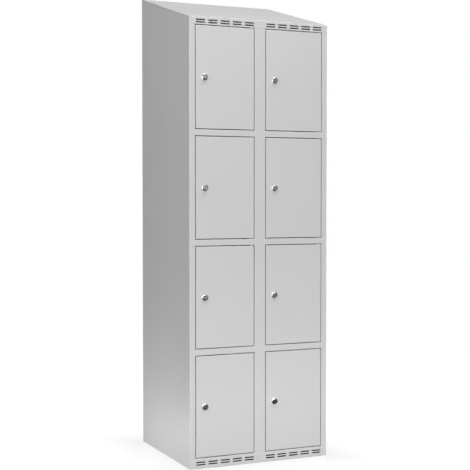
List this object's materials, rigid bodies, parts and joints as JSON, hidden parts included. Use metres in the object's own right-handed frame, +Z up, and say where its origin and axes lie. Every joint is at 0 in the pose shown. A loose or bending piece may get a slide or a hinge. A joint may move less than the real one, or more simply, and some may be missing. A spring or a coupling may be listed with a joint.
{
  "type": "coin operated locker",
  "caption": "Tall free-standing steel locker with two columns of hinged doors, a coin-return lock in each door, slotted plinth and fascia, and a sloping roof.",
  "frame": {"origin": "middle of the footprint on the floor, the front plane of the frame at Y = -0.275 and the back at Y = +0.275", "axes": "+Z up, +X to the right seen from the front, doors face -Y"},
  "size_m": [0.6, 0.5595, 1.9014],
  "materials": {
    "frame_paint": "fine powder coat, satin, light grey",
    "door_paint": "fine powder coat, satin, light grey",
    "lock_chrome": "polished chrome plate",
    "zinc_plated_steel": "bright zinc plate",
    "lock_case_plastic": "moulded, fine texture",
    "buffer_rubber": "matt"
  },
  "bodies": {
    "carcass": {"left_side_panel": "frame_paint", "right_side_panel": "frame_paint", "centre_post": "frame_paint", "centre_partition": "frame_paint", "back_panel": "frame_paint", "base_plate": "frame_paint", "bottom_rail": "frame_paint", "ceiling_plate": "frame_paint", "sloping_roof": "frame_paint", "hinge_pins": "zinc_plated_steel", "strike_plates": "zinc_plated_steel", "door_buffers": "buffer_rubber", "levelling_feet": "zinc_plated_steel", "foot_brackets": "zinc_plated_steel", "shelf_left_1": "frame_paint", "shelf_left_2": "frame_paint", "shelf_left_3": "frame_paint", "shelf_right_1": "frame_paint", "shelf_right_2": "frame_paint", "shelf_right_3": "frame_paint"},
    "leaf_left_1": {"door_left_1": "door_paint", "coin_lock_left_1": "lock_case_plastic", "lock_cylinder_left_1": "lock_chrome"},
    "lock_left_1": {"lock_plug_left_1": "lock_chrome", "lock_cam_left_1": "zinc_plated_steel"},
    "leaf_left_2": {"door_left_2": "door_paint", "coin_lock_left_2": "lock_case_plastic", "lock_cylinder_left_2": "lock_chrome"},
    "lock_left_2": {"lock_plug_left_2": "lock_chrome", "lock_cam_left_2": "zinc_plated_steel"},
    "leaf_left_3": {"door_left_3": "door_paint", "coin_lock_left_3": "lock_case_plastic", "lock_cylinder_left_3": "lock_chrome"},
    "lock_left_3": {"lock_plug_left_3": "lock_chrome", "lock_cam_left_3": "zinc_plated_steel"},
    "leaf_left_4": {"door_left_4": "door_paint", "coin_lock_left_4": "lock_case_plastic", "lock_cylinder_left_4": "lock_chrome"},
    "lock_left_4": {"lock_plug_left_4": "lock_chrome", "lock_cam_left_4": "zinc_plated_steel"},
    "leaf_right_1": {"door_right_1": "door_paint", "coin_lock_right_1": "lock_case_plastic", "lock_cylinder_right_1": "lock_chrome"},
    "lock_right_1": {"lock_plug_right_1": "lock_chrome", "lock_cam_right_1": "zinc_plated_steel"},
    "leaf_right_2": {"door_right_2": "door_paint", "coin_lock_right_2": "lock_case_plastic", "lock_cylinder_right_2": "lock_chrome"},
    "lock_right_2": {"lock_plug_right_2": "lock_chrome", "lock_cam_right_2": "zinc_plated_steel"},
    "leaf_right_3": {"door_right_3": "door_paint", "coin_lock_right_3": "lock_case_plastic", "lock_cylinder_right_3": "lock_chrome"},
    "lock_right_3": {"lock_plug_right_3": "lock_chrome", "lock_cam_right_3": "zinc_plated_steel"},
    "leaf_right_4": {"door_right_4": "door_paint", "coin_lock_right_4": "lock_case_plastic", "lock_cylinder_right_4": "lock_chrome"},
    "lock_right_4": {"lock_plug_right_4": "lock_chrome", "lock_cam_right_4": "zinc_plated_steel"}
  },
  "joints": [
    {"name": "door_hinge_left_1", "type": "hinge", "parent": "carcass", "child": "leaf_left_1", "pos_m": [-0.0365, -0.269, 0.24125], "axis": [0, 0, 1], "range_deg": [0, 110]},
    {"name": "lock_turn_left_1", "type": "hinge", "parent": "leaf_left_1", "child": "lock_left_1", "pos_m": [-0.236, -0.275, 0.24125], "axis": [0, 1, 0], "range_deg": [0, 90]},
    {"name": "door_hinge_left_2", "type": "hinge", "parent": "carcass", "child": "leaf_left_2", "pos_m": [-0.0365, -0.269, 0.66775], "axis": [0, 0, 1], "range_deg": [0, 110]},
    {"name": "lock_turn_left_2", "type": "hinge", "parent": "leaf_left_2", "child": "lock_left_2", "pos_m": [-0.236, -0.275, 0.66775], "axis": [0, 1, 0], "range_deg": [0, 90]},
    {"name": "door_hinge_left_3", "type": "hinge", "parent": "carcass", "child": "leaf_left_3", "pos_m": [-0.0365, -0.269, 1.09425], "axis": [0, 0, 1], "range_deg": [0, 110]},
    {"name": "lock_turn_left_3", "type": "hinge", "parent": "leaf_left_3", "child": "lock_left_3", "pos_m": [-0.236, -0.275, 1.09425], "axis": [0, 1, 0], "range_deg": [0, 90]},
    {"name": "door_hinge_left_4", "type": "hinge", "parent": "carcass", "child": "leaf_left_4", "pos_m": [-0.0365, -0.269, 1.52075], "axis": [0, 0, 1], "range_deg": [0, 110]},
    {"name": "lock_turn_left_4", "type": "hinge", "parent": "leaf_left_4", "child": "lock_left_4", "pos_m": [-0.236, -0.275, 1.52075], "axis": [0, 1, 0], "range_deg": [0, 90]},
    {"name": "door_hinge_right_1", "type": "hinge", "parent": "carcass", "child": "leaf_right_1", "pos_m": [0.2635, -0.269, 0.24125], "axis": [0, 0, 1], "range_deg": [0, 110]},
    {"name": "lock_turn_right_1", "type": "hinge", "parent": "leaf_right_1", "child": "lock_right_1", "pos_m": [0.064, -0.275, 0.24125], "axis": [0, 1, 0], "range_deg": [0, 90]},
    {"name": "door_hinge_right_2", "type": "hinge", "parent": "carcass", "child": "leaf_right_2", "pos_m": [0.2635, -0.269, 0.66775], "axis": [0, 0, 1], "range_deg": [0, 110]},
    {"name": "lock_turn_right_2", "type": "hinge", "parent": "leaf_right_2", "child": "lock_right_2", "pos_m": [0.064, -0.275, 0.66775], "axis": [0, 1, 0], "range_deg": [0, 90]},
    {"name": "door_hinge_right_3", "type": "hinge", "parent": "carcass", "child": "leaf_right_3", "pos_m": [0.2635, -0.269, 1.09425], "axis": [0, 0, 1], "range_deg": [0, 110]},
    {"name": "lock_turn_right_3", "type": "hinge", "parent": "leaf_right_3", "child": "lock_right_3", "pos_m": [0.064, -0.275, 1.09425], "axis": [0, 1, 0], "range_deg": [0, 90]},
    {"name": "door_hinge_right_4", "type": "hinge", "parent": "carcass", "child": "leaf_right_4", "pos_m": [0.2635, -0.269, 1.52075], "axis": [0, 0, 1], "range_deg": [0, 110]},
    {"name": "lock_turn_right_4", "type": "hinge", "parent": "leaf_right_4", "child": "lock_right_4", "pos_m": [0.064, -0.275, 1.52075], "axis": [0, 1, 0], "range_deg": [0, 90]}
  ]
}
